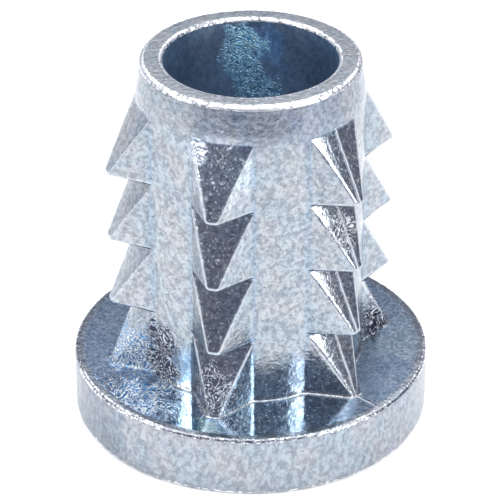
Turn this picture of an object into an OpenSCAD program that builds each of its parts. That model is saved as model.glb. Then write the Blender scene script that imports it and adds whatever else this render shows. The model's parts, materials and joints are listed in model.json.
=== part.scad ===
// Knock-in insert nut, cast in one piece. The flange stops it at the face of a panel, the barbs
// around its shank grip the wall of a drilled hole, and a machine screw goes up its threaded middle.
// It stands on the flange's flat underside, with the nose up.

/* [Flange] */
// Diameter of the flange
flange_d = 14; // [12.5:0.5:20]
// Thickness of the flange
flange_t = 2.5; // [1.5:0.1:4]
// Radius that rounds the flange's upper and lower rims
flange_rim_r = 0.15; // [0.05:0.05:0.4]

/* [Core] */
// Diameter of the round core that carries the barbs
core_d = 8.7; // [8.4:0.1:9.6]
// Radius of the fillet where the core rises from the flange
core_fillet_r = 0.15; // [0.05:0.05:0.3]
// Height of the plain collar above the topmost barbs
collar_h = 1.35; // [1.35:0.05:4]

/* [Nose] */
// Height of the slight taper that leads the nose into its hole
nose_taper_h = 1.3; // [0.5:0.1:1.3]
// How far that taper draws the nose in, measured on the radius
nose_taper_in = 0.16; // [0.02:0.02:0.2]
// Radius that rounds the nose's outer edge
nose_edge_r = 0.2; // [0.1:0.05:0.3]

/* [Barbs] */
// Number of columns of barbs around the core
barb_columns = 6; // [4:1:8]
// Number of barbs in each column
barb_rows = 4; // [2:1:6]
// Height of a barb, from its flat underside to that of the barb above it
barb_pitch = 2.8; // [2:0.05:4]
// Diameter of the circle through the tips of the barbs
barb_tip_d = 11.3; // [10.6:0.1:12]
// Width of a barb where it leaves the core
barb_root_w = 2.4; // [1.6:0.1:3]
// Width of a barb's blunt tip
barb_tip_w = 0.42; // [0.2:0.02:0.8]
// Height of the upright land at the tip, between the flat underside and the slope
barb_land_h = 0.12; // [0.05:0.01:0.3]
// How much higher a barb's underside stands at its tip than at the core, as draft for the mould
barb_draft = 0.1; // [0.02:0.02:0.2]
// Height of bare core left between the top of a slope and the barb above
barb_gap = 0.05; // [0.05:0.05:0.5]

/* [Hole] */
// Diameter across the crests of the thread, which are left as a plain bore here
thread_crest_d = 5; // [4.8:0.05:5.2]
// Diameter of the countersink that leads the screw in from the flange's underside
countersink_d = 6.3; // [5.6:0.1:7]
// Diameter of the clear bore between the thread and the nose
clear_bore_d = 6.6; // [6.3:0.1:6.9]
// Depth of the clear bore's straight wall, measured down from the nose
clear_bore_depth = 5; // [3:0.5:7]
// Radius that rounds the clear bore's mouth
mouth_r = 0.15; // [0.05:0.05:0.25]

/* [Hidden] */
$fn = 96;

flange_r = flange_d / 2;
core_r = core_d / 2;
crest_r = thread_crest_d / 2;
countersink_r = countersink_d / 2;
clear_bore_r = clear_bore_d / 2;
barb_tip_r = barb_tip_d / 2;

// Heights, from the flange's underside up
barbs_top_z = flange_t + barb_rows * barb_pitch;
nose_z = barbs_top_z + collar_h;
taper_z = nose_z - nose_taper_h;
bore_floor_z = nose_z - clear_bore_depth;

// The nose once the taper has drawn it in
nose_r = core_r - nose_taper_in;

// Distance from the axis to the straight line between a barb's two root corners
barb_root_x = sqrt(core_r * core_r - barb_root_w * barb_root_w / 4);
// The barbs start half-way into the core's wall and half-way into the flange, which makes the
// casting one solid, and their flanks run on inwards in a straight line
barb_inner_x = (barb_root_x + clear_bore_r) / 2;
barb_inner_z = flange_t / 2;
flank_spread = (barb_root_w - barb_tip_w) / 2 / (barb_tip_r - barb_root_x);
barb_inner_w = barb_tip_w + 2 * flank_spread * (barb_tip_r - barb_inner_x);
// Where the two flanks would meet if the tip were not blunt
barb_apex_x = barb_tip_r + barb_tip_w / 2 / flank_spread;
// The slope leaves barb_gap of the core bare, and runs on inside it to the barb above
barb_depth = barb_tip_r - core_r;
slope_end_r = barb_tip_r
    - barb_depth * (barb_pitch - barb_land_h) / (barb_pitch - barb_land_h - barb_gap);
slope_end_drop = barb_draft * (barb_tip_r - slope_end_r) / barb_depth;

ROUND_STEPS = 6;
zinc_grey = [0.70, 0.72, 0.77];

// Points of an arc about [x, z], from one angle to another
function arc(x, z, r, from, to) =
    [for (i = [0 : ROUND_STEPS]) let (a = from + (to - from) * i / ROUND_STEPS)
        [x + r * cos(a), z + r * sin(a)]];

// Half section of everything that is turned about the axis: the underside's countersink, the
// flange, the core, the nose, and back down through the hole. Both cones in the hole stand at
// 45 degrees, so their height is their change of radius.
module turned_section() {
    polygon(concat(
        [[countersink_r, 0]],
        arc(flange_r - flange_rim_r, flange_rim_r, flange_rim_r, -90, 0),
        arc(flange_r - flange_rim_r, flange_t - flange_rim_r, flange_rim_r, 0, 90),
        arc(core_r + core_fillet_r, flange_t + core_fillet_r, core_fillet_r, 270, 180),
        [[core_r, taper_z]],
        arc(nose_r - nose_edge_r, nose_z - nose_edge_r, nose_edge_r, 0, 90),
        arc(clear_bore_r + mouth_r, nose_z - mouth_r, mouth_r, 90, 180),
        [[clear_bore_r, bore_floor_z]],
        [[crest_r, bore_floor_z - (clear_bore_r - crest_r)]],
        [[crest_r, countersink_r - crest_r]]
    ));
}

// A column of barbs seen from above: two upright flanks that close in on a sharp edge
module barb_plan() {
    polygon([
        [barb_inner_x, -barb_inner_w / 2],
        [barb_apex_x, 0],
        [barb_inner_x, barb_inner_w / 2]
    ]);
}

// Half section of a saw-toothed sleeve round the core: each tooth has an underside that rises a
// little to the tip, a short land there, and a cone that leans back to the core under the next tooth
module barb_saw() {
    polygon(concat(
        [[clear_bore_r, barb_inner_z], [barb_tip_r, barb_inner_z]],
        [for (row = [0 : barb_rows - 1]) let (z = flange_t + row * barb_pitch)
            each concat(
                row > 0 ? [[barb_tip_r, z]] : [],
                [[barb_tip_r, z + barb_land_h], [slope_end_r, z + barb_pitch - slope_end_drop]]
            )
        ],
        [[clear_bore_r, barbs_top_z - slope_end_drop]]
    ));
}

// The wedge of that sleeve between the two flanks, whose edge the sleeve's outside makes blunt
module barb_column() {
    intersection() {
        linear_extrude(height = barbs_top_z) barb_plan();
        rotate_extrude() barb_saw();
    }
}

module nut_body() {
    color(zinc_grey)
    union() {
        rotate_extrude() turned_section();
        for (column = [0 : barb_columns - 1])
            rotate([0, 0, column * 360 / barb_columns]) barb_column();
    }
}

nut_body();
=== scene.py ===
# %% [markdown]
# # A knock-in insert nut, cast in zinc
# The nut is driven into a drilled hole in a wooden panel. Barbs round its shank grip the wood, a
# flange stops it at the panel's face, and a machine screw goes up its threaded middle. It is one
# casting, so it needs one piece: this script remakes the plain construction model as a mesh with
# soft cast edges and a real thread, and then gives it its metal.

import json
import math
from collections import namedtuple
from types import SimpleNamespace

import bmesh
import bpy
import numpy as np
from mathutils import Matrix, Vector


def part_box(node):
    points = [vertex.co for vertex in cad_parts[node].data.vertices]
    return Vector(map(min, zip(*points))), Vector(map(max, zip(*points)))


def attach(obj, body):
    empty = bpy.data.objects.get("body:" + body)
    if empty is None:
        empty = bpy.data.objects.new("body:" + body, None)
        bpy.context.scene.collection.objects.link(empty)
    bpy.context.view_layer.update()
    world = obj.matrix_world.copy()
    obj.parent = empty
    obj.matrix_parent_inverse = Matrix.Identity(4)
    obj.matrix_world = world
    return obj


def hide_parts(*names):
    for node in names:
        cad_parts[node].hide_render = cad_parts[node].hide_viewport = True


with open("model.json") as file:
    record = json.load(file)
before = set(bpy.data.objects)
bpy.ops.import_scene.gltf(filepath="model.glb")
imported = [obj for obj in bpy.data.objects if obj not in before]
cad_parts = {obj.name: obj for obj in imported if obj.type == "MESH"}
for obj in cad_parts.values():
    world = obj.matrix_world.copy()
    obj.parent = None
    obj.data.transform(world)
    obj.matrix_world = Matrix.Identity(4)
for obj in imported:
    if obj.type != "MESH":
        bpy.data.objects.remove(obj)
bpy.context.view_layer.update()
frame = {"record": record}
scene = bpy.context.scene
NODE = "nut_body"
MM = 0.001

# %% [markdown]
# ## Sizes
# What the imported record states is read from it: the overall box and the radii of the two stretches
# of the hole. The other sizes are those of the construction model, in millimetres. MM turns them
# into metres, which is what Blender works in.

# %% Sizes of the nut
mounts = {mount["name"]: mount for mount in frame["record"]["mounts"]}
low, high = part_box(NODE)

FLANGE_R = (high.x - low.x) / 2 / MM
NOSE_Z = high.z / MM
CREST_R = mounts["m6_thread"]["dims"]["r_mm"]
BORE_R = mounts["clear_bore"]["dims"]["r_mm"]
FLANGE_T = mounts["flange_shoulder"]["pos_m"][2] / MM

# Rims, core, nose and hole; an _R is a radius and an _H a height
RIM_R = 0.15
CORE_R = 4.35
NOSE_TAPER_H = 1.3
NOSE_TAPER_IN = 0.16
NOSE_EDGE_R = 0.2
COUNTERSINK_R = 3.15
BORE_DEPTH = 5.0
MOUTH_R = 0.15

# The barbs: how many, how far apart, and the form of one
COLUMNS = 6
ROWS = 4
PITCH = 2.8
TIP_R = 5.65
ROOT_W = 2.4
TIP_W = 0.42
LAND_H = 0.12
DRAFT = 0.1
GAP = 0.05
BARBS_TOP = FLANGE_T + ROWS * PITCH

# The thread: how far it climbs in a turn, and how deep its groove is
THREAD_PITCH = 1.0
THREAD_DEPTH = 0.54
print("flange", round(FLANGE_R, 2), "mm in radius, nose at", round(NOSE_Z, 2), "mm")

# %% [markdown]
# ## One sixth of the shank
# Seen from above, a barb is two upright flanks that close in on a blunt tip. Seen from the side it
# is a saw tooth: nearly flat underneath, and leaning back to the core above. The leaning front is a
# part of a cone, so it meets the round core at one height all the way across. A boolean union of
# wedges and a cylinder would give that shape, but with edges as sharp as a knife and no clean way to
# round them. So the skin is laid as a grid instead. Each ring of the grid is the outline of one
# slice, and its points are shared out by feature: front, corner, flank, root and core. The edges of
# the barb then follow the grid's own lines, and a soft corner is only a matter of where its few
# points go.

# %% The outline of one slice
# How many points each feature gets in half a slice
FRONT, CORNER, FLANK, ROOT, CORE = 8, 3, 5, 2, 7
HALF = FRONT + CORNER + FLANK + ROOT + CORE
SECTOR = math.pi / COLUMNS
# How far from a corner its rounding starts, at the tip and at the core, and the most that it takes
# of a short flank or a narrow front
EDGE_SET = 0.12
ROOT_SET = 0.12
MOST = 0.4
DEPTH = TIP_R - CORE_R
ROOT_X = math.sqrt(CORE_R ** 2 - ROOT_W ** 2 / 4)
SPREAD = (ROOT_W - TIP_W) / 2 / (TIP_R - ROOT_X)
FLANK_DIR = np.array([1, -SPREAD]) / math.hypot(1, SPREAD)


def bend(start, corner, end, steps):
    """Points of a soft corner, from just after start to end."""
    t = (np.arange(steps) + 1)[:, None] / steps
    return (1 - t) ** 2 * start + 2 * t * (1 - t) * corner + t ** 2 * end


def straight(start, end, steps):
    """Points of a straight stretch, from just after start to end."""
    t = (np.arange(steps) + 1)[:, None] / steps
    return start + t * (end - start)


def round_axis(radius, start, stop, steps):
    """Points of an arc about the axis, with both its ends."""
    angles = np.linspace(start, stop, steps + 1)
    return radius * np.stack([np.cos(angles), np.sin(angles)], 1)


def on_flank(offset, radius):
    """Where a flank, whose line is y = offset - SPREAD x, meets a circle about the axis."""
    square = 1 + SPREAD ** 2
    x = (offset * SPREAD + math.sqrt(radius ** 2 * square - offset ** 2)) / square
    return np.array([x, offset - SPREAD * x])


def half_outline(front_r, grow=0.0):
    """Half of a slice, from the middle of the barb's front round to the middle of the bare core.
    front_r is the radius at which the front stands; grow moves the whole outline outwards."""
    core = CORE_R + max(grow, 0.0)
    front = max(front_r + grow, core)
    offset = TIP_W / 2 + SPREAD * TIP_R + grow * math.hypot(1, SPREAD)
    root_at = on_flank(offset, core)
    corner_at = on_flank(offset, front)
    flank = np.linalg.norm(corner_at - root_at)
    edge = min(EDGE_SET, MOST * flank, MOST * corner_at[1])
    foot = min(ROOT_SET, MOST * flank)
    middle = round_axis(front, 0, math.atan2(corner_at[1], corner_at[0]) - edge / front, FRONT)
    after = corner_at - FLANK_DIR * edge
    rising = root_at + FLANK_DIR * foot
    bare = round_axis(core, math.atan2(root_at[1], root_at[0]) + foot / core, SECTOR, CORE)
    return np.concatenate([
        middle, bend(middle[-1], corner_at, after, CORNER), straight(after, rising, FLANK),
        bend(rising, root_at, bare[0], ROOT), bare[1:]])


print("points in half a slice:", len(half_outline(TIP_R)), "=", HALF, "+ 1")

# %% [markdown]
# The front of a barb is upright on its short land and then leans back until it meets the core, just
# under the next barb. The underside rises a little to the tip: that is the draft, without which the
# mould's slides could not be drawn out. A slice is laid at each of a few heights, closer together
# where the shape turns.

# %% Rings up one barb
SLOPE_TOP = PITCH - DRAFT - GAP
# The soft edge round the underside
UNDER_R = 0.08
UNDER_STEPS = 3
# Where rings are laid on the slope, from its foot to its top
SLOPE_SHARES = (0.0, 0.03, 0.1, 0.25, 0.4, 0.55, 0.7, 0.82, 0.92, 0.97, 1.0)
ON_CORE = FRONT + CORNER + FLANK + ROOT
BARE = np.arange(HALF + 1) > ON_CORE


def ring(points, heights):
    """A ring of half a slice as points in space."""
    return np.column_stack([points, np.broadcast_to(heights, len(points))])


def slope_rings(z):
    """From the top of the land to where the barb has died out on the core."""
    rings = []
    for share in SLOPE_SHARES:
        height = LAND_H + share * (SLOPE_TOP - LAND_H)
        rings.append(ring(half_outline(TIP_R - share * DEPTH), z + height))
    return rings


def drafted(points, z):
    """Heights on the underside of a barb whose tip stands at z."""
    return z - DRAFT * (TIP_R - np.hypot(*points.T)) / DEPTH


def underside_rings(z):
    """From the bare core out along the flat underside, and round its soft edge."""
    root = half_outline(CORE_R)
    rings = [ring(root, z - DRAFT - BARE * GAP / 2)]
    for step in range(UNDER_STEPS + 1):
        turn = math.pi / 2 * step / UNDER_STEPS
        outline = half_outline(TIP_R, -UNDER_R * (1 - math.sin(turn)))
        rings.append(ring(outline, drafted(outline, z) + UNDER_R * (1 - math.cos(turn))))
    return rings


print("a slope ends", round(SLOPE_TOP, 2), "mm up, and leans back", round(DEPTH, 2), "mm")

# %% [markdown]
# Four tiles of skin are enough for the whole shank. The apron runs in over the flange's face, from a
# plain circle to the outline of the lowest barb. The foot goes up the small fillet. The barb tile
# goes from just above one underside to just above the next, so that it can be stacked. The head
# holds the topmost barb's slope and runs out on the plain collar, where the grid lines even out
# again. Each tile is mirrored about the middle of the barb.

# %% The apron, foot, barb and head tiles
APRON_R = 6.2
APRON_INSET = 2.5 * LAND_H
FOOT_STEPS = 4
COLLAR_Z = BARBS_TOP + 0.45
# Where rings are laid on the collar, from the last barb up to COLLAR_Z
COLLAR_SHARES = (0.15, 0.4, 0.7, 1.0)
EVEN = np.linspace(0, SECTOR, HALF + 1)


def collar_radius(z):
    """Radius of the collar, which tapers a little towards the nose."""
    share = (z - (NOSE_Z - NOSE_TAPER_H)) / (NOSE_TAPER_H - NOSE_EDGE_R)
    return CORE_R - NOSE_TAPER_IN * max(share, 0.0)


def add_object(name, data):
    """A new object in the scene."""
    made = bpy.data.objects.new(name, data)
    scene.collection.objects.link(made)
    return made


def add_mesh(name, points, faces=()):
    """A new object whose mesh has these points and faces."""
    mesh = bpy.data.meshes.new(name)
    mesh.from_pydata(points, [], faces)
    return add_object(name, mesh)


def tile_mesh(name, rings):
    """A mesh from rings of half a slice: mirrored, and joined into a grid of quads."""
    half = np.array(rings)
    other = half[:, :0:-1] * [1, -1, 1]
    grid = np.concatenate([other, half], axis=1)
    rows, across = grid.shape[:2]
    index = np.arange(rows * across).reshape(rows, across)
    quads = np.stack([index[:-1, :-1], index[:-1, 1:], index[1:, 1:], index[1:, :-1]], 2)
    return add_mesh(name, (grid.reshape(-1, 3) * MM).tolist(), quads.reshape(-1, 4).tolist())


apron_rings = [
    ring(round_axis(APRON_R, 0, SECTOR, HALF), FLANGE_T),
    ring(half_outline(TIP_R, APRON_INSET), FLANGE_T), ring(half_outline(TIP_R, LAND_H), FLANGE_T)]
foot_rings = []
for step in range(FOOT_STEPS + 1):
    turn = math.pi / 2 * step / FOOT_STEPS
    outline = half_outline(TIP_R, LAND_H * (1 - math.sin(turn)))
    foot_rings.append(ring(outline, FLANGE_T + LAND_H * (1 - math.cos(turn))))

next_z = FLANGE_T + PITCH
barb_rings = slope_rings(FLANGE_T) + underside_rings(next_z)
barb_rings.append(ring(half_outline(TIP_R), next_z + LAND_H))

top_z = FLANGE_T + (ROWS - 1) * PITCH
head_rings = slope_rings(top_z)
last = half_outline(CORE_R)
last_angles = np.arctan2(last[:, 1], last[:, 0])
for share in COLLAR_SHARES:
    angles = last_angles + share * (EVEN - last_angles)
    height = (top_z + SLOPE_TOP) * (1 - share) + COLLAR_Z * share
    points = collar_radius(height) * np.stack([np.cos(angles), np.sin(angles)], 1)
    head_rings.append(ring(points, height))

barb_tile = tile_mesh("barb_tile", barb_rings)
foot_tile = tile_mesh("foot_tile", foot_rings)
head_tile = tile_mesh("head_tile", head_rings)
apron_tile = tile_mesh("apron_tile", apron_rings)
print("quads in a barb tile:", len(barb_tile.data.polygons))

# %% [markdown]
# ## Six columns of four
# Geometry Nodes do the repeating. The tree stacks the barb tile on a short line of points, adds the
# foot and the head, and turns the finished column round the axis on a second set of points. The
# apron goes through it alone. The tree's inputs have names, so it would also make a nut with more
# rows or columns. A modifier's input is set by its socket's identifier, before the object is
# evaluated for the first time.

# %% Helpers for Geometry Nodes
FLOAT, WHOLE, COLOUR, VECTOR, OBJECT, MATERIAL = (
    "NodeSocket" + kind for kind in ("Float", "Int", "Color", "Vector", "Object", "Material"))


def new_tree(name, sockets):
    """A geometry tree with a Geometry input and output and the named inputs. Returns the tree, its
    inputs and its outputs."""
    tree = bpy.data.node_groups.new(name, "GeometryNodeTree")
    tree.interface.new_socket("Geometry", in_out="INPUT", socket_type="NodeSocketGeometry")
    for label, kind in sockets:
        tree.interface.new_socket(label, in_out="INPUT", socket_type=kind)
    tree.interface.new_socket("Geometry", in_out="OUTPUT", socket_type="NodeSocketGeometry")
    return tree, tree.nodes.new("NodeGroupInput").outputs, tree.nodes.new("NodeGroupOutput").inputs


def put(tree, kind, links=(), **settings):
    """Adds a node, sets its properties, and links or sets its inputs, given as (input, source). A
    node given as a source stands for its first output."""
    made = tree.nodes.new(kind)
    for name, value in settings.items():
        setattr(made, name, value)
    for socket, source in links:
        if isinstance(source, bpy.types.Node):
            source = source.outputs[0]
        if isinstance(source, bpy.types.NodeSocket):
            tree.links.new(source, made.inputs[socket])
        else:
            made.inputs[socket].default_value = source
    return made


def calc(tree, operation, first, second=0.0, third=0.0):
    """The result of one step of arithmetic."""
    made = put(tree, "ShaderNodeMath", [(0, first), (1, second), (2, third)], operation=operation)
    return made.outputs[0]


def run_tree(host, tree, values):
    """Runs a tree on an object, with its inputs set by identifier, and returns the plain mesh."""
    modifier = host.modifiers.new(tree.name, "NODES")
    modifier.node_group = tree
    for item in tree.interface.items_tree:
        if item.in_out == "INPUT" and item.name in values:
            modifier[item.identifier] = values[item.name]
    graph = bpy.context.evaluated_depsgraph_get()
    result = bpy.data.meshes.new_from_object(host.evaluated_get(graph))
    host.modifiers.remove(modifier)
    return result


# Points closer together than this are one point
MERGE = 0.0005 * MM


def end_tree(tree, given, out, geometry):
    """Makes the geometry real, closes its seams and gives it the finish."""
    real = put(tree, "GeometryNodeRealizeInstances", [("Geometry", geometry)])
    joined = put(tree, "GeometryNodeMergeByDistance", [
        ("Geometry", real), ("Distance", MERGE)])
    finish = put(tree, "GeometryNodeSetMaterial", [
        ("Geometry", joined), ("Material", given["Finish"])])
    tree.links.new(finish.outputs[0], out[0])
    print(tree.name, "has", len(tree.nodes), "nodes")


# %% The tree that repeats the barbs
ZONES = ("shank", "flange", "side", "nose", "bore", "thread")
shank_zinc, flange_zinc, side_zinc, nose_zinc, bore_zinc, thread_zinc = (
    bpy.data.materials.new(zone + "_zinc") for zone in ZONES)

barbs, given, out = new_tree("barb_columns", [
    ("Foot", OBJECT), ("Head", OBJECT), ("Tiles", WHOLE), ("Columns", WHOLE), ("Pitch", FLOAT),
    ("Finish", MATERIAL)])
step_up = put(barbs, "ShaderNodeCombineXYZ", [("Z", given["Pitch"])])
stack_points = put(barbs, "GeometryNodeMeshLine", [
    ("Count", given["Tiles"]), ("Offset", step_up)], mode="OFFSET")
stack = put(barbs, "GeometryNodeInstanceOnPoints", [
    ("Points", stack_points), ("Instance", given["Geometry"])])
foot = put(barbs, "GeometryNodeObjectInfo", [("Object", given["Foot"])])
head = put(barbs, "GeometryNodeObjectInfo", [("Object", given["Head"])])
column = put(barbs, "GeometryNodeJoinGeometry")
for source in (stack.outputs[0], foot.outputs["Geometry"], head.outputs["Geometry"]):
    barbs.links.new(source, column.inputs[0])
axis_points = put(barbs, "GeometryNodeMeshLine", [
    ("Count", given["Columns"]), ("Offset", (0.0, 0.0, 0.0))], mode="OFFSET")
index = put(barbs, "GeometryNodeInputIndex")
share = calc(barbs, "DIVIDE", index, given["Columns"])
turn = put(barbs, "ShaderNodeCombineXYZ", [("Z", calc(barbs, "MULTIPLY", share, math.tau))])
around = put(barbs, "GeometryNodeInstanceOnPoints", [
    ("Points", axis_points), ("Instance", column), ("Rotation", turn)])
end_tree(barbs, given, out, around)

shank = run_tree(barb_tile, barbs, {
    "Foot": foot_tile, "Head": head_tile, "Tiles": ROWS - 1, "Columns": COLUMNS,
    "Pitch": PITCH * MM, "Finish": shank_zinc})
apron = run_tree(apron_tile, barbs, {"Tiles": 1, "Columns": COLUMNS, "Finish": flange_zinc})
print("shank and apron:", len(shank.polygons), "and", len(apron.polygons), "faces")

# %% [markdown]
# ## Everything that is turned
# The flange, the nose and the smooth parts of the hole are the same all the way round, so they are
# one half section carried round the axis. Curve to Mesh could sweep it, but a grid is easier to
# match to the shank: the tree makes a flat grid with one row for each point of the section and one
# column for each line of the shank's skin, and then moves every point to its place on the circle.

# %% The half section
ARC_STEPS = 5
ROUND = COLUMNS * 2 * HALF


def arc(x, z, radius, start, stop):
    """Points of an arc in the half section, with angles in degrees."""
    angles = np.radians(np.linspace(start, stop, ARC_STEPS + 1))
    return [(x + radius * math.cos(a), z + radius * math.sin(a)) for a in angles]


def spread(start, stop, steps):
    """Points along a straight line of the half section, without its ends."""
    shares = (np.arange(steps - 1) + 1) / steps
    return [tuple(np.array(start) * (1 - t) + np.array(stop) * t) for t in shares]


nose_r = CORE_R - NOSE_TAPER_IN
floor_z = NOSE_Z - BORE_DEPTH
thread_low = COUNTERSINK_R - CREST_R
thread_high = floor_z - (BORE_R - CREST_R)

# The blunted edge of the countersink, the strip of the flange's face that belongs to its rim, and
# how far below the nose's edge the collar has one more line
BLUNT = 0.02
BAND = 0.2
NOSE_LINE = 0.5
rim_r = FLANGE_R - RIM_R
under_section = (
    [(CREST_R, thread_low), (COUNTERSINK_R - BLUNT, BLUNT), (COUNTERSINK_R + BLUNT, 0.0)]
    + spread((COUNTERSINK_R + BLUNT, 0.0), (rim_r, 0.0), 6) + [(rim_r, 0.0)])
side_section = (
    arc(rim_r, RIM_R, RIM_R, -90, 0) + spread((FLANGE_R, RIM_R), (FLANGE_R, FLANGE_T - RIM_R), 6)
    + arc(rim_r, FLANGE_T - RIM_R, RIM_R, 0, 90) + [(rim_r - BAND, FLANGE_T)])
top_section = (
    [(rim_r - BAND, FLANGE_T)] + spread((rim_r - BAND, FLANGE_T), (APRON_R, FLANGE_T), 3)
    + [(APRON_R, FLANGE_T)])
collar_section = [
    (collar_radius(z), z) for z in (COLLAR_Z, NOSE_Z - NOSE_LINE, NOSE_Z - NOSE_EDGE_R)]
nose_section = (
    arc(nose_r - NOSE_EDGE_R, NOSE_Z - NOSE_EDGE_R, NOSE_EDGE_R, 0, 90)
    + spread((nose_r - NOSE_EDGE_R, NOSE_Z), (BORE_R + MOUTH_R, NOSE_Z), 4)
    + arc(BORE_R + MOUTH_R, NOSE_Z - MOUTH_R, MOUTH_R, 90, 180))
bore_section = (
    [(BORE_R, NOSE_Z - MOUTH_R)] + spread((BORE_R, NOSE_Z - MOUTH_R), (BORE_R, floor_z), 6)
    + [(BORE_R, floor_z)])
seat_section = [(BORE_R, floor_z), (CREST_R, thread_high)]
print("points round the flange:", len(under_section + side_section + top_section))

# %% The tree that carries a section round the axis
def rows_of_points(tree, given):
    """A flat grid with a row for each point of the tree's own mesh and a column for each line round
    the axis. Also gives, for each point of the grid, its row's point and its share of a turn."""
    lines = calc(tree, "ADD", given["Around"], 1.0)
    grid = put(tree, "GeometryNodeMeshGrid", [("Vertices X", given["Rows"]), ("Vertices Y", lines)])
    index = put(tree, "GeometryNodeInputIndex")
    row = calc(tree, "FLOOR", calc(tree, "DIVIDE", index, lines))
    line = calc(tree, "SUBTRACT", index, calc(tree, "MULTIPLY", row, lines))
    lap = calc(tree, "DIVIDE", line, given["Around"])
    place = put(tree, "GeometryNodeInputPosition")
    sample = put(tree, "GeometryNodeSampleIndex", [
        ("Geometry", given["Geometry"]), ("Value", place), ("Index", row)],
        data_type="FLOAT_VECTOR")
    part = put(tree, "ShaderNodeSeparateXYZ", [(0, sample)])
    return grid, part.outputs, lap


def wrap_round(tree, grid, lap, radius, height):
    """The grid with each point moved to its place about the axis."""
    angle = calc(tree, "MULTIPLY", lap, math.tau)
    moved = put(tree, "ShaderNodeCombineXYZ", [
        ("X", calc(tree, "MULTIPLY", radius, calc(tree, "COSINE", angle))),
        ("Y", calc(tree, "MULTIPLY", radius, calc(tree, "SINE", angle))),
        ("Z", height)])
    return put(tree, "GeometryNodeSetPosition", [("Geometry", grid), ("Position", moved)])


turned, given, out = new_tree("turned_section", [
    ("Rows", WHOLE), ("Around", WHOLE), ("Finish", MATERIAL)])
grid, point, lap = rows_of_points(turned, given)
end_tree(turned, given, out, wrap_round(turned, grid, lap, point["X"], point["Z"]))


def turn_section(name, section, finish):
    """A surface turned from a list of (radius, height) points, with its zone's finish."""
    host = add_mesh(name, [(x * MM, 0, z * MM) for x, z in section])
    made = run_tree(host, turned, {"Rows": len(section), "Around": ROUND, "Finish": finish})
    bpy.data.objects.remove(host)
    return made, finish


turned_parts = [turn_section(*part) for part in (
    ("underside", under_section, flange_zinc), ("side", side_section, side_zinc),
    ("top", top_section, flange_zinc), ("collar", collar_section, shank_zinc),
    ("nose", nose_section, nose_zinc), ("bore", bore_section, bore_zinc),
    ("seat", seat_section, thread_zinc))]
print("turned faces:", [len(mesh.polygons) for mesh, finish in turned_parts])

# %% [markdown]
# ## The thread
# An M6 thread is one groove that climbs a millimetre a turn. Cut by a boolean it would be thousands
# of slivers, so it too is a grid whose points are moved. Every row of the grid climbs with the
# groove: a row that reaches the seam after one turn lies exactly on the row that started a pitch
# higher, and Merge by Distance closes the seam. Rows that would start too low or end too high are
# held at the two ends, where the groove also runs out to nothing.

# %% The tree that cuts the thread
# Shares of the pitch: where the rows lie, where the flat crest ends, and where the flat root is
SHARES = (0.0, 0.125, 0.25, 0.406, 0.5625, 0.625, 0.6875, 0.844)
CREST_END, ROOT_START, ROOT_END = 0.25, 0.5625, 0.6875
RUN_OUT = 0.35
turns = math.ceil((thread_high - thread_low) / THREAD_PITCH)

thread, given, out = new_tree("inside_thread", [
    ("Rows", WHOLE), ("Around", WHOLE), ("Low", FLOAT), ("High", FLOAT), ("Pitch", FLOAT),
    ("Crest radius", FLOAT), ("Depth", FLOAT), ("Run-out", FLOAT), ("Finish", MATERIAL)])
grid, point, lap = rows_of_points(thread, given)
climb = calc(thread, "ADD", lap, point["Z"])
climb = calc(thread, "MULTIPLY", climb, given["Pitch"])
height = calc(thread, "ADD", climb, given["Low"])
height = calc(thread, "MAXIMUM", height, given["Low"])
height = calc(thread, "MINIMUM", height, given["High"])
from_low = calc(thread, "SUBTRACT", height, given["Low"])
from_high = calc(thread, "SUBTRACT", given["High"], height)
nearest = calc(thread, "MINIMUM", from_low, from_high)
fade = put(thread, "ShaderNodeMapRange", [
    ("Value", nearest), ("From Max", given["Run-out"])], interpolation_type="SMOOTHSTEP")
cut = calc(thread, "MULTIPLY", point["X"], fade.outputs["Result"])
radius = calc(thread, "MULTIPLY_ADD", cut, given["Depth"], given["Crest radius"])
end_tree(thread, given, out, wrap_round(thread, grid, lap, radius, height))


def groove(share):
    """Depth of the groove, from 0 on the crest to 1 at its root, at a share of the pitch."""
    if share <= CREST_END:
        return 0.0
    if share < ROOT_START:
        return (share - CREST_END) / (ROOT_START - CREST_END)
    return 1.0 if share <= ROOT_END else (1.0 - share) / (1.0 - ROOT_END)


rows = [(groove(s), 0.0, lap - 1 + s) for lap in range(turns + 2) for s in SHARES]
row_host = add_mesh("thread_rows", rows)
hole = run_tree(row_host, thread, {
    "Around": ROUND, "Rows": len(rows), "Low": thread_low * MM, "High": thread_high * MM,
    "Pitch": THREAD_PITCH * MM, "Crest radius": CREST_R * MM, "Depth": THREAD_DEPTH * MM,
    "Run-out": RUN_OUT * MM, "Finish": thread_zinc})
bpy.data.objects.remove(row_host)
print("thread:", turns, "turns,", len(hole.polygons), "faces")

# %% [markdown]
# ## One skin
# The shank, the turned surfaces and the thread share their border points, so merging what lies at
# the same place closes them into one skin, as a casting has. Edges that turn by more than CRISP stay
# sharp, and the rest are shaded smooth.

# %% Join the skin
CRISP = math.radians(38)
# An edge or a nook that turns by this much counts in full
TURN_FULL = math.radians(22)


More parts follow.
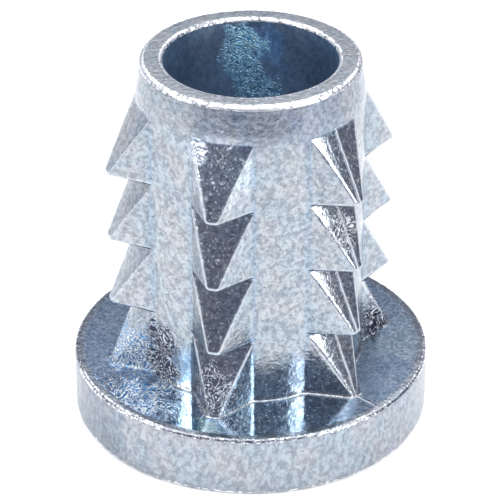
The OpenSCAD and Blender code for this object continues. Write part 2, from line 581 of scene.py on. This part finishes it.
def join_skin(name, meshes):
    """One object from pairs of a mesh and its finish, which meet along their borders. The
    attributes "edge" and "nook" say how sharply the skin turns outwards or inwards at a point."""
    finishes = list(dict.fromkeys(finish for mesh, finish in meshes))
    skin = bmesh.new()
    for mesh, finish in meshes:
        before = len(skin.faces)
        skin.from_mesh(mesh)
        skin.faces.ensure_lookup_table()
        for face in skin.faces[before:]:
            face.material_index = finishes.index(finish)
    bmesh.ops.remove_doubles(skin, verts=skin.verts, dist=MERGE)
    bmesh.ops.dissolve_degenerate(skin, edges=skin.edges, dist=MERGE / 10)
    bmesh.ops.recalc_face_normals(skin, faces=skin.faces)
    open_edges = sum(not edge.is_manifold for edge in skin.edges)
    outer = skin.verts.layers.float.new("edge")
    inner = skin.verts.layers.float.new("nook")
    for vert in skin.verts:
        turns = [edge.calc_face_angle_signed() for edge in vert.link_edges if edge.is_manifold]
        vert[outer] = min(1.0, max(0.0, max(turns)) / TURN_FULL)
        vert[inner] = min(1.0, max(0.0, -min(turns)) / TURN_FULL)
    for face in skin.faces:
        face.smooth = True
    for edge in skin.edges:
        edge.smooth = edge.is_manifold and edge.calc_face_angle() < CRISP
    mesh = bpy.data.meshes.new(name)
    skin.to_mesh(mesh)
    volume = skin.calc_volume() / MM ** 3
    skin.free()
    for finish in finishes:
        mesh.materials.append(finish)
    print(name, len(mesh.polygons), "faces,", open_edges, "open edges,", round(volume, 1), "mm3")
    return add_object(name, mesh)


nut = join_skin("insert_nut", [
    (shank, shank_zinc), (apron, flange_zinc), (hole, thread_zinc)] + turned_parts)
for tile in (barb_tile, foot_tile, head_tile, apron_tile):
    bpy.data.objects.remove(tile)
weighted = nut.modifiers.new("even_shading", "WEIGHTED_NORMAL")
weighted.keep_sharp = True
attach(nut, "root")
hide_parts(NODE)

# %% [markdown]
# ## Six finishes on one casting
# The nut is zinc all over, cast in a steel mould and then plated, yet it doesn't shine alike
# everywhere. The shank and the flange's side keep the crumpled skin of the mould, the flange's flat
# faces are smoother and bluer, the nose's face is duller, the clear bore is blue from the bath that
# stood in it and its colour is painted dark for the shade in the hole, and the thread is cut and
# bare, with its colour painted darker still for the shade deep inside. So each zone has a material
# of its own. All of them are made from the same few shader groups with different values, which is
# what keeps six finishes looking like one metal. The groups put out only masks, heights and tints;
# the one shader of each material stays outside them.

# %% Helpers for shader groups
ORIGIN = (0, 0, 0)
WHITE = (1, 1, 1, 1)


def new_group(name, inputs, outputs):
    """A shader group that takes a place and the named inputs, each with its usual value. Returns
    the group, the place, all its inputs and its outputs."""
    group = bpy.data.node_groups.new(name, "ShaderNodeTree")
    for label, kind, value in [("Place", VECTOR, ORIGIN)] + inputs:
        socket = group.interface.new_socket(label, in_out="INPUT", socket_type=kind)
        socket.default_value = value
    for label, kind in outputs:
        group.interface.new_socket(label, in_out="OUTPUT", socket_type=kind)
    print(name, "takes", [each[0] for each in inputs], "and gives", [each[0] for each in outputs])
    given = group.nodes.new("NodeGroupInput").outputs
    return group, given["Place"], given, group.nodes.new("NodeGroupOutput").inputs


def use_group(tree, name, place, **values):
    """A group placed in a tree, with its inputs linked or set. An underscore stands for a space."""
    links = [("Place", place)] + [(label.replace("_", " "), value) for label, value in values.items()]
    return put(tree, "ShaderNodeGroup", links, node_tree=bpy.data.node_groups[name]).outputs


def scale_for(tree, size, features=1.0):
    """The scale of a noise whose features have this size in millimetres."""
    return calc(tree, "DIVIDE", features, size)


def noise(tree, place, scale, detail, rough=0.5, warp=0.0):
    """The value of a noise, with its scale in features per millimetre."""
    made = put(tree, "ShaderNodeTexNoise", [
        ("Vector", place), ("Scale", scale), ("Detail", detail), ("Roughness", rough),
        ("Distortion", warp)])
    return made.outputs["Fac"]


def ramp(tree, value, low, high, to_low=0.0, to_high=1.0):
    """A value carried smoothly from one range to another."""
    made = put(tree, "ShaderNodeMapRange", [
        ("Value", value), ("From Min", low), ("From Max", high), ("To Min", to_low),
        ("To Max", to_high)], interpolation_type="SMOOTHSTEP")
    return made.outputs["Result"]


# A Mix node has sockets for every type, so those of one type are found by number
def blend(tree, share, first, second, kind="MIX"):
    """Two colours mixed by a share."""
    made = put(tree, "ShaderNodeMix", [(0, share), (6, first), (7, second)],
               data_type="RGBA", blend_type=kind)
    return made.outputs[2]


def multiply(tree, first, second):
    """Two colours multiplied."""
    return blend(tree, 1.0, first, second, "MULTIPLY")


def between(tree, share, first, second):
    """Two numbers mixed by a share."""
    return put(tree, "ShaderNodeMix", [(0, share), (2, first), (3, second)]).outputs[0]


# %% [markdown]
# ### Mottling, tint and specks
# Zinc that chills against a steel wall freezes in small lumps, which the plating follows. A noise of
# a fifth of a millimetre makes the lumps and a finer one the grain on them. Both drive the height
# and the colour together, since a hollow is a little darker than a crest. The tint is slower: it is
# the thickness of the clear film over the plating, which turns from warm to blue within a
# millimetre. The specks are crumbs of plating that stand proud and catch the lamps.

# %% The skin that the mould leaves
GRAIN_SHARE = 0.25

tree, place, given, out = new_group(
    "mould_skin", [("Crumple size", FLOAT, 0.25), ("Grain size", FLOAT, 0.07)],
    [("Height", FLOAT), ("Mottle", FLOAT), ("Grain", FLOAT)])
crumple = noise(tree, place, scale_for(tree, given["Crumple size"]), 2.5, warp=0.5)
grain = noise(tree, place, scale_for(tree, given["Grain size"]), 1.5)
lumps = calc(tree, "MULTIPLY", crumple, 1 - GRAIN_SHARE)
level = calc(tree, "MULTIPLY_ADD", grain, GRAIN_SHARE, lumps)
tree.links.new(calc(tree, "MULTIPLY_ADD", grain, GRAIN_SHARE, crumple), out["Height"])
tree.links.new(ramp(tree, level, 0.36, 0.64), out["Mottle"])
tree.links.new(grain, out["Grain"])

# %% The colours of the plating
WARM, COOL, VIOLET = (1.0, 0.985, 0.965, 1), (0.84, 0.95, 1.0, 1), (0.93, 0.92, 1.0, 1)
# The violet has a noise of its own: this much finer, and taken this far away
FINER = 2.3
ELSEWHERE = (37.0, 11.0, 5.0)

tree, place, given, out = new_group(
    "plating_tint", [("Patch size", FLOAT, 0.6), ("Strength", FLOAT, 1.0)], [("Tint", COLOUR)])
patch_scale = scale_for(tree, given["Patch size"])
first = noise(tree, place, patch_scale, 1.0, 0.45)
moved = put(tree, "ShaderNodeVectorMath", [(0, place), (1, ELSEWHERE)], operation="ADD")
second = noise(tree, moved.outputs[0], calc(tree, "MULTIPLY", patch_scale, FINER), 2.0, 0.6)
film = blend(tree, ramp(tree, first, 0.38, 0.62), WARM, COOL)
film = blend(tree, ramp(tree, second, 0.45, 0.7, 0.0, 0.8), film, VIOLET)
tree.links.new(blend(tree, given["Strength"], WHITE, film), out["Tint"])

# %% Small bright specks
# Hardly any of the noise stands above this level
SPECK_LEVEL = 0.74

tree, place, given, out = new_group(
    "bright_specks", [("Speck size", FLOAT, 0.12), ("Share", FLOAT, 0.1)], [("Mask", FLOAT)])
field = noise(tree, place, scale_for(tree, given["Speck size"]), 2.0, warp=0.6)
edge = calc(tree, "SUBTRACT", SPECK_LEVEL, given["Share"])
above = calc(tree, "SUBTRACT", field, edge)
tree.links.new(ramp(tree, above, 0.0, 0.05), out["Mask"])

# %% [markdown]
# ### Marks in known places
# The mould's two halves met in the plane y = 0, so a fine ridge crosses the slopes and the flange
# there. It is measured from the plane, with a little noise to let it wander, rather than drawn.
# Cold metal that met in the mould leaves curled ridges, like a fingerprint. They are contour lines
# of a slow noise: the noise is folded to and fro by a ping-pong, so that each fold is one ridge. A
# ragged patch says where they are. The last group breaks the soft edges into crumbs, and reads the
# "edge" attribute that was measured on the mesh, so that it follows the edges wherever they run.

# %% The parting line
PARTING_W = 0.08
WANDER = 0.12

tree, place, given, out = new_group(
    "parting_line", [("Width", FLOAT, PARTING_W)], [("Mask", FLOAT)])
apart = put(tree, "ShaderNodeSeparateXYZ", [(0, place)]).outputs["Y"]
shift = calc(tree, "SUBTRACT", noise(tree, place, 1.5, 1.0), 0.5)
off = calc(tree, "ABSOLUTE", calc(tree, "MULTIPLY_ADD", shift, WANDER, apart))
tree.links.new(ramp(tree, off, 0.0, given["Width"], 1.0, 0.0), out["Mask"])

# %% A ragged patch
RAGGEDNESS = 1.6

tree, place, given, out = new_group(
    "ragged_patch", [("Centre", VECTOR, ORIGIN), ("Radius", FLOAT, 1.0)], [("Mask", FLOAT)])
away = put(tree, "ShaderNodeVectorMath", [(0, place), (1, given["Centre"])], operation="DISTANCE")
away = calc(tree, "DIVIDE", away.outputs["Value"], given["Radius"])
ragged = calc(tree, "MULTIPLY", noise(tree, place, 1.3, 3.0, 0.6), RAGGEDNESS)
away = calc(tree, "ADD", away, ragged)
tree.links.new(ramp(tree, away, 1.4, 1.8, 1.0, 0.0), out["Mask"])

# %% Curled ridges
# How often the noise is folded, and how wide a ridge is beside the noise's features
FOLDS = 8.0
FOLD = 0.34
HALF_FOLD = 0.5

tree, place, given, out = new_group(
    "curled_ridges", [("Spacing", FLOAT, 0.14), ("Share", FLOAT, 0.5)], [("Ridge", FLOAT)])
field = noise(tree, place, scale_for(tree, given["Spacing"], FOLD), 2.5, 0.55, 0.5)
bands = calc(tree, "PINGPONG", calc(tree, "MULTIPLY", field, FOLDS), HALF_FOLD)
edge = calc(tree, "MULTIPLY_ADD", given["Share"], -HALF_FOLD, HALF_FOLD)
above = calc(tree, "SUBTRACT", bands, edge)
tree.links.new(ramp(tree, above, -0.12, 0.12), out["Ridge"])

# %% Chips along a worn edge
# How much the soft edge is widened, and how much more is chipped in one stretch than in another
WIDER = 1.8
UNEVEN = 0.5

tree, place, given, out = new_group(
    "chipped_edge", [("Edge", FLOAT, 0.0), ("Crumb size", FLOAT, 0.14), ("Threshold", FLOAT, 0.45)],
    [("Bright", FLOAT), ("Dark", FLOAT)])
field = noise(tree, place, scale_for(tree, given["Crumb size"]), 2.0, 0.6, 0.3)
edge = calc(tree, "MINIMUM", calc(tree, "MULTIPLY", given["Edge"], WIDER), 1.0)
limit = calc(tree, "MULTIPLY_ADD", noise(tree, place, 0.3, 1.0), UNEVEN, given["Threshold"])
crumbs = calc(tree, "SUBTRACT", calc(tree, "MULTIPLY", field, edge), limit)
crumbs = ramp(tree, crumbs, -0.28, -0.22)
tree.links.new(crumbs, out["Bright"])
bare = calc(tree, "SUBTRACT", ramp(tree, edge, 0.4, 1.0), crumbs)
tree.links.new(calc(tree, "MAXIMUM", bare, 0.0), out["Dark"])

# %% [markdown]
# ### Putting a finish together
# One function builds the material of a zone from those groups, one layer over the other: the
# mould's skin and tint first, then curls and patches of painted light and shade, then the parting
# ridge, and last the wear on the edges. Each layer is a small function that takes the coat so far
# and changes its colour, height, roughness or metal. A patch of painted light only multiplies the
# colour, so the mottling still shows through. Curls carry a milky bloom, which is salt of zinc and
# no longer metal, and most of their colours are painted reflection and light. The pale colour of
# the worn edges is partly a painted highlight, and the blue of the nooks partly painted shade.

# %% The layers of a finish
# Pale bare metal on worn edges and the parting ridge; the same colour also paints the highlights that
# they catch
WEAR_AND_HIGHLIGHT = (0.80, 0.84, 0.88, 1)
# Blue film and painted shade in the inner corners
NOOK_FILM_AND_SHADE = (0.72, 0.86, 1.0, 1)
# Painted shade: the colour is multiplied by this outside a glossy patch
OFF_GLOSS_PAINTED_SHADE = (0.62, 0.62, 0.64, 1)
CHIP_BRIGHT = (0.96, 0.97, 0.98, 1)
CHIP_DARK = (0.26, 0.26, 0.30, 1)
# Heights of a speck, of the parting ridge and of a crumb, in millimetres
SPECK_H, PARTING_H, CRUMB_H = 0.012, 0.05, 0.03
# How far the parting ridge has lost its metal, and the height over which it dies out at the top
PARTING_BLOOM = 0.6
PARTING_FADE = 0.2
# The roughness and the share of its relief that a glossy patch has
GLOSS = 0.06
CALM = 0.4
# Heights between which the nooks' blue and painted shade come in, leaving out the nook at the flange
NOOK_LOW, NOOK_HIGH = 2.7, 3.4

# Where curls are, the colours of their hollows and ridges, the distance between ridges, their height
# in millimetres, their share of the patch, and the patch's roughness
Curls = namedtuple("Curls", "centre radius colours spacing rise cover gloss",
                   defaults=(0.15, 0.05, 0.4, 0.12))
# A patch of painted light and shade, which brightens or darkens the colour where the metal mirrors
# something bright or dark
PaintedLightPatch = namedtuple("PaintedLightPatch", "centre radius tint")


def patch_mask(tree, place, centre, radius):
    """The mask of one ragged patch."""
    return use_group(tree, "ragged_patch", place, Centre=centre, Radius=radius)["Mask"]


def height_of(tree, place):
    """How high above the floor a point lies."""
    return put(tree, "ShaderNodeSeparateXYZ", [(0, place)]).outputs["Z"]


def measured(tree, name):
    """An attribute that was measured on the mesh."""
    return put(tree, "ShaderNodeAttribute", attribute_name=name).outputs["Fac"]


def add_curls(tree, place, coat, at, bloom):
    """A patch of curled ridges, whose colours mostly paint reflection and light."""
    mask = patch_mask(tree, place, at.centre, at.radius)
    ridge = use_group(tree, "curled_ridges", place, Spacing=at.spacing, Share=at.cover)["Ridge"]
    if bloom:
        milky = calc(tree, "MULTIPLY", mask, ramp(tree, ridge, 0.0, 1.0, 0.2, 1.0))
        coat.metal = calc(tree, "MULTIPLY_ADD", milky, -bloom, coat.metal)
    raised = calc(tree, "MULTIPLY", ridge, at.rise)
    coat.height = calc(tree, "MULTIPLY_ADD", mask, raised, coat.height)
    coat.colour = blend(tree, mask, coat.colour, blend(tree, ridge, *at.colours))
    coat.rough = between(tree, mask, coat.rough, at.gloss)


def add_painted_light(tree, place, coat, at):
    """A patch of painted light and shade, whose colour is multiplied by a tint."""
    mask = patch_mask(tree, place, at.centre, at.radius)
    coat.colour = blend(tree, mask, coat.colour, multiply(tree, coat.colour, at.tint))


def add_gloss(tree, place, coat, centre, radius):
    """A smooth and shiny patch, with everything outside it duller and darker, and the darker colour
    is painted shade.
    """
    mask = patch_mask(tree, place, centre, radius)
    coat.rough = between(tree, mask, coat.rough, GLOSS)
    calm = calc(tree, "MULTIPLY", coat.height, CALM)
    coat.height = between(tree, mask, coat.height, calm)
    coat.colour = multiply(tree, coat.colour, blend(tree, mask, OFF_GLOSS_PAINTED_SHADE, WHITE))


def add_parting(tree, place, coat, strength):
    """The ridge of the parting line, up to where the barbs end. Its pale colour is partly a painted
    highlight.
    """
    ridge = use_group(tree, "parting_line", place)["Mask"]
    below = ramp(tree, height_of(tree, place), BARBS_TOP - PARTING_FADE, BARBS_TOP, 1.0, 0.0)
    ridge = calc(tree, "MULTIPLY", ridge, below)
    coat.height = calc(tree, "MULTIPLY_ADD", ridge, PARTING_H, coat.height)
    coat.metal = calc(tree, "MULTIPLY_ADD", ridge, -PARTING_BLOOM, coat.metal)
    coat.colour = blend(tree, calc(tree, "MULTIPLY", ridge, strength), coat.colour, WEAR_AND_HIGHLIGHT)


def add_wear(tree, coat, strength):
    """Bare bright metal on the edges, whose pale colour also paints the highlights that they catch.
    """
    wear = calc(tree, "POWER", measured(tree, "edge"), 2.0)
    coat.colour = blend(tree, calc(tree, "MULTIPLY", wear, strength), coat.colour, WEAR_AND_HIGHLIGHT)


def add_chips(tree, place, coat, threshold, darkness):
    """Bright crumbs along the edges, and darker stretches between them."""
    chip = use_group(tree, "chipped_edge", place, Edge=measured(tree, "edge"), Threshold=threshold)
    coat.height = calc(tree, "MULTIPLY_ADD", chip["Bright"], CRUMB_H, coat.height)
    dark = calc(tree, "MULTIPLY", chip["Dark"], darkness)
    coat.colour = blend(tree, dark, coat.colour, CHIP_DARK)
    coat.colour = blend(tree, chip["Bright"], coat.colour, CHIP_BRIGHT)


def add_nooks(tree, place, coat, strength):
    """Blue film where the bath ran out of the inner corners, and painted shade in them."""
    above = ramp(tree, height_of(tree, place), NOOK_LOW, NOOK_HIGH, 0.0, strength)
    hollow = calc(tree, "MULTIPLY", measured(tree, "nook"), above)
    coat.colour = blend(tree, hollow, coat.colour, NOOK_FILM_AND_SHADE, "MULTIPLY")


# %% The finish of a zone
SPECK_SIZE = 0.11
TINT_SIZE = 1.0
TINT_STRENGTH = 0.6


def zinc_finish(finish, light, dark, rough, relief, crumple, grain, specks, stretch=1.0, curls=(),
                bloom=0.0, painted_lights=(), glossy=None, line=0.0, worn=0.0, nook=0.0, chipped=None):
    """Builds a zone's material. light and dark are the colours of the mottling, rough the range of
    its roughness, relief the height of its crumples and crumple and grain their sizes, in
    millimetres. A stretch below 1 draws the pattern out upwards. specks, bloom, line, worn and nook
    say how strong those layers are, from 0 to 1."""
    finish.use_nodes = True
    tree = finish.node_tree
    shader = tree.nodes["Principled BSDF"]
    shader.inputs["Metallic"].default_value = 1.0
    where = put(tree, "ShaderNodeTexCoord").outputs["Object"]
    place = put(tree, "ShaderNodeVectorMath", [(0, where), ("Scale", 1 / MM)], operation="SCALE")
    drawn = put(tree, "ShaderNodeMapping", [("Vector", place), ("Scale", (1, 1, stretch))])
    cast = use_group(tree, "mould_skin", drawn, Crumple_size=crumple, Grain_size=grain)
    film = use_group(tree, "plating_tint", drawn, Patch_size=TINT_SIZE, Strength=TINT_STRENGTH)
    coat = SimpleNamespace(
        colour=multiply(tree, blend(tree, cast["Mottle"], dark, light), film["Tint"]),
        height=calc(tree, "MULTIPLY", cast["Height"], relief),
        rough=ramp(tree, cast["Grain"], 0.3, 0.7, *rough), metal=1.0)
    for at in curls:
        add_curls(tree, place, coat, at, bloom)
    for at in painted_lights:
        add_painted_light(tree, place, coat, at)
    if glossy:
        add_gloss(tree, place, coat, *glossy)
    if specks:
        bright = use_group(tree, "bright_specks", place, Speck_size=SPECK_SIZE, Share=specks)["Mask"]
        coat.height = calc(tree, "MULTIPLY_ADD", bright, SPECK_H, coat.height)
    if line:
        add_parting(tree, place, coat, line)
    if worn:
        add_wear(tree, coat, worn)
    if chipped:
        add_chips(tree, place, coat, *chipped)
    if nook:
        add_nooks(tree, place, coat, nook)
    if isinstance(coat.metal, bpy.types.NodeSocket):
        tree.links.new(calc(tree, "MAXIMUM", coat.metal, 0.0), shader.inputs["Metallic"])
    tree.links.new(coat.colour, shader.inputs["Base Color"])
    tree.links.new(coat.rough, shader.inputs["Roughness"])
    bump = put(tree, "ShaderNodeBump", [
        ("Strength", 1.0), ("Distance", MM), ("Height", coat.height)])
    tree.links.new(bump.outputs["Normal"], shader.inputs["Normal"])
    print(finish.name, "has", len(tree.nodes), "nodes")


# %% The six finishes
# Colours of the hollows and of the ridges of curls; all but the bare ones are painted reflection and
# light
# Painted reflection: blue hollows and white ridges for the bright blue squiggles mirrored at the foot
BLUE_REFLECTION_CURLS = ((0.24, 0.48, 0.78, 1), (0.96, 1.0, 1.0, 1))
# Painted shade and dark reflection: near-black hollows where the foot mirrors dark surroundings
DARK_REFLECTION_CURLS = ((0.07, 0.07, 0.11, 1), (0.88, 0.95, 1.0, 1))
BARE_CURLS = ((0.22, 0.23, 0.28, 1), (0.95, 0.97, 1.0, 1))
# Painted highlight: a pale patch at the top-left edge of the top barb
PALE_HIGHLIGHT_CURLS = ((0.50, 0.55, 0.60, 1), (0.90, 0.93, 0.97, 1))
# Painted light: pale blue squiggles for the softly lit middle of the bore
BORE_LIGHT_CURLS = ((0.20, 0.42, 0.66, 1), (0.60, 0.90, 1.0, 1))
# What a patch of painted light multiplies the colour by: below 1 it paints shade, and above 1 light
# Painted shade: darkens the collar where it faces the camera and mirrors dim surroundings
COLLAR_PAINTED_SHADE = (0.79, 0.81, 0.88, 1)
# Painted shade: darkens the left of the flange's side
SIDE_PAINTED_SHADE = (0.78, 0.80, 0.83, 1)
# Painted light: brightens the top barb, which no barb above it shades
TOP_BARB_PAINTED_LIGHT = (1.35, 1.35, 1.35, 1)
# Painted light: a brighter blue patch on the flange's front, where it mirrors the shank, and in the
# softly lit middle of the bore
BLUE_PAINTED_LIGHT = (1.25, 1.45, 1.60, 1)
# Painted reflection: these two brighten the front and the rear of the flange's face
FRONT_PAINTED_REFLECTION = (1.15, 1.15, 1.08, 1)
REAR_PAINTED_REFLECTION = (1.22, 1.20, 1.10, 1)

zinc_finish(
    shank_zinc, light=(0.515, 0.55, 0.575, 1), dark=(0.30, 0.325, 0.355, 1), rough=(0.14, 0.24),
    # worn also paints the highlights of the edges, and nook paints shade in the inner corners
    relief=0.014, crumple=0.2, grain=0.09, specks=0.12, line=0.9, worn=0.5, nook=0.7, bloom=0.85,
    curls=[
        # Painted reflection: blue and white squiggles at the foot
        Curls((-2.0, -5.0, 3.0), 2.1, BLUE_REFLECTION_CURLS, spacing=0.14, rise=0.09, cover=0.55, gloss=0.16),
        # Painted shade and dark reflection: near-black hollows at the foot
        Curls((-0.6, -4.3, 4.3), 0.85, DARK_REFLECTION_CURLS, gloss=0.1),
        Curls((-0.6, -4.3, 3.2), 1.0, DARK_REFLECTION_CURLS, gloss=0.1),
        # Painted highlight: a pale patch on the top barb
        Curls((1.4, -4.3, 13.2), 0.55, PALE_HIGHLIGHT_CURLS, spacing=0.2, rise=0.04, cover=0.35, gloss=0.15),
        Curls((2.5, -4.85, 3.2), 1.15, BARE_CURLS, spacing=0.16, cover=0.2),
        # Painted dark reflection: near-black hollows at the foot of a barb at the back
        Curls((2.7, 4.4, 3.2), 1.6, DARK_REFLECTION_CURLS, spacing=0.16, cover=0.3),
        Curls((5.0, -0.1, 9.6), 0.8, BARE_CURLS, cover=0.35)],
    painted_lights=[
        # Painted light on the top barb; the patches on the collar on this line and the next paint
        # shade
        PaintedLightPatch((2.3, -4.1, 12.7), 1.6, TOP_BARB_PAINTED_LIGHT), PaintedLightPatch((1.88, -3.87, 14.5), 1.2, COLLAR_PAINTED_SHADE),
        PaintedLightPatch((3.42, -2.61, 14.5), 1.5, COLLAR_PAINTED_SHADE), PaintedLightPatch((4.24, -0.70, 14.5), 1.4, COLLAR_PAINTED_SHADE)])
zinc_finish(
    flange_zinc, light=(0.63, 0.76, 0.90, 1), dark=(0.44, 0.57, 0.72, 1), rough=(0.2, 0.3),
    relief=0.005, crumple=0.35, grain=0.14, specks=0.07, line=1.0, bloom=0.4,
    # Painted shade: outside the glossy front patch the colour is darker
    glossy=((3.0, -5.0, 2.5), 5.5),
    curls=[
        # Painted reflection: blue and white squiggles on the flange's face
        Curls((-0.3, -5.8, 2.5), 1.6, BLUE_REFLECTION_CURLS, spacing=0.14, cover=0.42),
        Curls((-1.3, -5.6, 2.5), 1.2, BLUE_REFLECTION_CURLS, spacing=0.14, cover=0.42)],
    painted_lights=[
        # Painted reflection: a bright blue patch, and a brighter front and rear of the flange's face
        PaintedLightPatch((2.8, -5.7, 2.5), 1.0, BLUE_PAINTED_LIGHT), PaintedLightPatch((4.2, -4.5, 2.5), 2.6, FRONT_PAINTED_REFLECTION),
        PaintedLightPatch((4.2, 4.6, 2.5), 2.2, REAR_PAINTED_REFLECTION)])
zinc_finish(
    side_zinc, light=(0.505, 0.54, 0.57, 1), dark=(0.315, 0.34, 0.375, 1), rough=(0.16, 0.26),
    relief=0.016, crumple=0.2, grain=0.08, specks=0.12, stretch=0.7, chipped=(0.50, 0.3),
    # Painted shade: the left of the flange's side is darker
    painted_lights=[PaintedLightPatch((-2.4, -6.6, 1.2), 3.2, SIDE_PAINTED_SHADE)])
zinc_finish(
    nose_zinc, light=(0.44, 0.47, 0.49, 1), dark=(0.26, 0.285, 0.31, 1), rough=(0.28, 0.40),
    relief=0.025, crumple=0.16, grain=0.05, specks=0.12, chipped=(0.41, 0.4))
# Painted shade and light: the bore's dark colour is shade in the hole, and its pale blue curls and
# bright patch the light that falls in
zinc_finish(
    bore_zinc, light=(0.36, 0.47, 0.60, 1), dark=(0.25, 0.34, 0.46, 1), rough=(0.36, 0.46),
    relief=0.006, crumple=0.25, grain=0.07, specks=0.05,
    curls=[
        Curls(centre, radius, BORE_LIGHT_CURLS, spacing=0.1, rise=0.03, cover=0.5, gloss=0.4)
        for centre, radius in (
            ((-2.6, 2.1, 13.8), 1.1), ((-2.45, 2.25, 12.9), 0.9), ((-2.1, 2.6, 12.0), 1.1))],
    painted_lights=[PaintedLightPatch((-1.96, 2.70, 14.0), 1.1, BLUE_PAINTED_LIGHT)])
# Painted shade: the thread's colour is dark for the shade deep in the hole
zinc_finish(
    thread_zinc, light=(0.24, 0.29, 0.36, 1), dark=(0.14, 0.18, 0.24, 1), rough=(0.22, 0.32),
    relief=0.004, crumple=0.15, grain=0.05, specks=0.0)

# %% [markdown]
# ## Camera
# The camera stands well back with a long lens, so the nut shows little perspective. It is turned to
# the side of the plane where the mould's halves met, and it looks down by thirty degrees.

# %% Camera
VIEW_TURN = math.radians(44.57)
VIEW_RISE = math.radians(30.59)
VIEW_DISTANCE = 13.62 * FLANGE_R
AIM_Z = 0.9507 * FLANGE_R
# The lens, as a length in pixels of a render this wide, and how far it is shifted to one side
FOCAL_PX = 2443.2
RENDER_PX = 500
SHIFT_X = -0.0016
SENSOR = 36.0


def direction(turn, rise):
    """The direction with this bearing, measured from the nut's front, and this rise."""
    return Vector((math.sin(turn) * math.cos(rise), -math.cos(turn) * math.cos(rise), math.sin(rise)))


camera = add_object("camera", bpy.data.cameras.new("camera"))
back = direction(VIEW_TURN, VIEW_RISE)
camera.location = (Vector((0, 0, AIM_Z)) + back * VIEW_DISTANCE) * MM
camera.rotation_euler = (-back).to_track_quat("-Z", "Y").to_euler()
camera.data.sensor_width = SENSOR
camera.data.lens = SENSOR * FOCAL_PX / RENDER_PX
camera.data.shift_x = SHIFT_X
camera.data.clip_start = MM
scene.camera = camera
print("camera at", [round(part / MM) for part in camera.location], "mm")

# %% [markdown]
# ## Floor and light
# A mirror shows what stands round it, so most of the metal's look is made here. The upright walls
# mirror the floor just in front of the nut, and the leaning barbs mirror the room above the floor.
# That is why the walls come out pale and the barbs dark, with one large soft lamp overhead that
# lights the floor and a dim, slightly blue room. Two soft lamps at the sides give the bright
# strips, and a faint card on the left lifts the barbs that face it. The paper is a little whiter to
# the camera and in the metal than its colour, by a mask of its rays, and no lamp is added for that.

# %% Floor
# Half the floor's width in metres, its colour, and what the mask of its rays adds
REACH = 0.8
FLOOR_COLOUR = (0.9, 0.9, 0.9, 1)
WHITER = 0.2

corners = [(-REACH, -REACH, 0), (REACH, -REACH, 0), (REACH, REACH, 0), (-REACH, REACH, 0)]
floor = add_mesh("floor", corners, [(0, 1, 2, 3)])

paper = bpy.data.materials.new("paper")
paper.use_nodes = True
floor.data.materials.append(paper)
sheet = paper.node_tree
sheet.nodes.remove(sheet.nodes["Principled BSDF"])
matte = put(sheet, "ShaderNodeBsdfDiffuse", [("Color", FLOOR_COLOUR)])
rays = put(sheet, "ShaderNodeLightPath")
seen = calc(sheet, "MAXIMUM", rays.outputs["Is Camera Ray"], rays.outputs["Is Glossy Ray"])
seen = calc(sheet, "MAXIMUM", seen, rays.outputs["Is Transmission Ray"])
glow = put(sheet, "ShaderNodeEmission", [("Strength", calc(sheet, "MULTIPLY", seen, WHITER))])
both = put(sheet, "ShaderNodeAddShader", [(0, matte), (1, glow)])
sheet.links.new(both.outputs[0], sheet.nodes["Material Output"].inputs["Surface"])
print("floor", 2 * REACH, "m wide")

# %% Light
ROOM = (0.235, 0.25, 0.33, 1)


def soft_light(name, turn, rise, distance, size, radiance):
    """A soft rectangle that faces the nut. turn, counted from the camera's bearing, and rise are in
    degrees, distance and size in millimetres, and radiance is how bright it looks in a mirror."""
    data = bpy.data.lights.new(name, "AREA")
    data.shape = "RECTANGLE"
    data.size, data.size_y = size[0] * MM, size[1] * MM
    data.energy = radiance * math.pi * data.size * data.size_y
    away = direction(VIEW_TURN + math.radians(turn), math.radians(rise))
    made = add_object(name, data)
    made.location = (away * distance + Vector((0, 0, AIM_Z))) * MM
    made.rotation_euler = (-away).to_track_quat("-Z", "Y").to_euler()
    made.visible_camera = False
    print(name, "gives", round(data.energy, 3), "W")
    return made


overhead = soft_light("overhead", turn=180, rise=74.5, distance=45, size=(90, 90), radiance=2.0)
overhead.rotation_euler = (0, 0, VIEW_TURN)
soft_light("left_side", turn=-70, rise=27, distance=100, size=(18, 60), radiance=8.0)
soft_light("right_side", turn=57, rise=25, distance=100, size=(38, 60), radiance=6.0)
soft_light("left_card", turn=-120, rise=6, distance=110, size=(90, 40), radiance=0.6)

world = bpy.data.worlds.new("studio")
scene.world = world
world.use_nodes = True
world.node_tree.nodes["Background"].inputs["Color"].default_value = ROOM

scene.view_settings.view_transform = "Standard"
